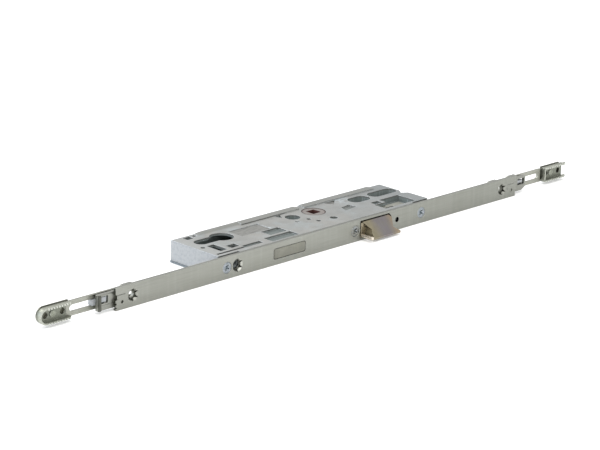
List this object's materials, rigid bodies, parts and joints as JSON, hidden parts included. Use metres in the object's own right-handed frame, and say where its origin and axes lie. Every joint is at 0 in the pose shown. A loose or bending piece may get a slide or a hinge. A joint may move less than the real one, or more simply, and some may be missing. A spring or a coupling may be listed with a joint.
{
  "type": "multipoint door lock",
  "caption": "Centre gearbox of a multipoint door lock: long faceplate with deadbolt and bevelled latch, spindle hub, profile cylinder hole, and slotted drive rods with toothed couplings.",
  "frame": {"origin": "on the spindle axis, at mid thickness of the faceplate", "axes": "+X runs up the door along the faceplate, +Y into the door from the faceplate, +Z across the thickness of the case, along the spindle"},
  "size_m": [0.5357, 0.063, 0.0172],
  "materials": {
    "plated_steel": "satin nickel-plated steel",
    "zinc_casting": "light grey zinc die casting",
    "zinc_plated_steel": "blue-white zinc plating",
    "zinc_plated_screw": "blue-white zinc plating",
    "chromated_zinc": "olive-gold chromated zinc casting",
    "spring_steel": "drawn spring wire",
    "brown_hub": "brown sintered steel"
  },
  "bodies": {
    "lock_case": {"faceplate": "plated_steel", "case_housing": "zinc_casting", "cover_plate": "zinc_plated_steel", "case_screws": "zinc_plated_screw", "cover_screws": "zinc_plated_screw", "lower_connector": "plated_steel", "upper_connector": "plated_steel", "lower_guide_block": "zinc_casting", "upper_guide_block": "zinc_casting", "connector_rivets": "plated_steel", "drive_gear_axle": "zinc_plated_steel", "key_wheel_axle": "zinc_plated_steel", "latch_spring": "spring_steel", "follower_spring": "spring_steel", "release_spring": "spring_steel"},
    "drive_rods": {"lower_drive_rod": "plated_steel", "upper_drive_rod": "plated_steel", "drive_slide": "plated_steel", "slide_rivets": "plated_steel", "lower_coupling": "zinc_casting", "upper_coupling": "zinc_casting", "lower_backing_plate": "zinc_plated_steel", "upper_backing_plate": "zinc_plated_steel", "coupling_rivets": "zinc_plated_steel"},
    "deadbolt": {"deadbolt": "plated_steel"},
    "drive_gear": {"drive_gear": "plated_steel"},
    "key_wheel": {"key_wheel": "plated_steel"},
    "latch_bolt": {"latch_bolt": "chromated_zinc"},
    "follower": {"follower": "brown_hub"},
    "release_pin": {"release_pin": "chromated_zinc"}
  },
  "joints": [
    {"name": "rods_slide", "type": "slide", "parent": "lock_case", "child": "drive_rods", "axis": [1, 0, 0], "range_m": [-0.014, 0]},
    {"name": "deadbolt_throw", "type": "slide", "parent": "lock_case", "child": "deadbolt", "axis": [0, -1, 0], "range_m": [0, 0.02]},
    {"name": "drive_gear_turn", "type": "hinge", "parent": "lock_case", "child": "drive_gear", "pos_m": [-0.05149, -0.007, 0], "axis": [0, 0, 1], "range_deg": [-115, 0]},
    {"name": "key_wheel_turn", "type": "hinge", "parent": "lock_case", "child": "key_wheel", "pos_m": [-0.06915, 0, 0], "axis": [0, 0, 1], "range_deg": [0, 128]},
    {"name": "latch_slide", "type": "slide", "parent": "lock_case", "child": "latch_bolt", "axis": [0, 1, 0], "range_m": [0, 0.01], "stiffness_N_per_m": 150, "springref_m": -0.02, "deforming": ["latch_spring"]},
    {"name": "follower_turn", "type": "hinge", "parent": "lock_case", "child": "follower", "pos_m": [0, 0, 0], "axis": [0, 0, 1], "range_deg": [0, 41], "deforming": ["follower_spring"]},
    {"name": "release_slide", "type": "slide", "parent": "lock_case", "child": "release_pin", "axis": [0, 1, 0], "range_m": [0, 0.01], "stiffness_N_per_m": 80, "springref_m": -0.01, "deforming": ["release_spring"]}
  ],
  "couplings": [
    {"joint": "deadbolt_throw", "follows": "rods_slide", "ratio": -1.4286},
    {"joint": "drive_gear_turn", "follows": "rods_slide", "rad_per_m": 142.86},
    {"joint": "key_wheel_turn", "follows": "rods_slide", "rad_per_m": -158.73},
    {"joint": "follower_turn", "follows": "latch_slide", "rad_per_m": 71.429}
  ]
}
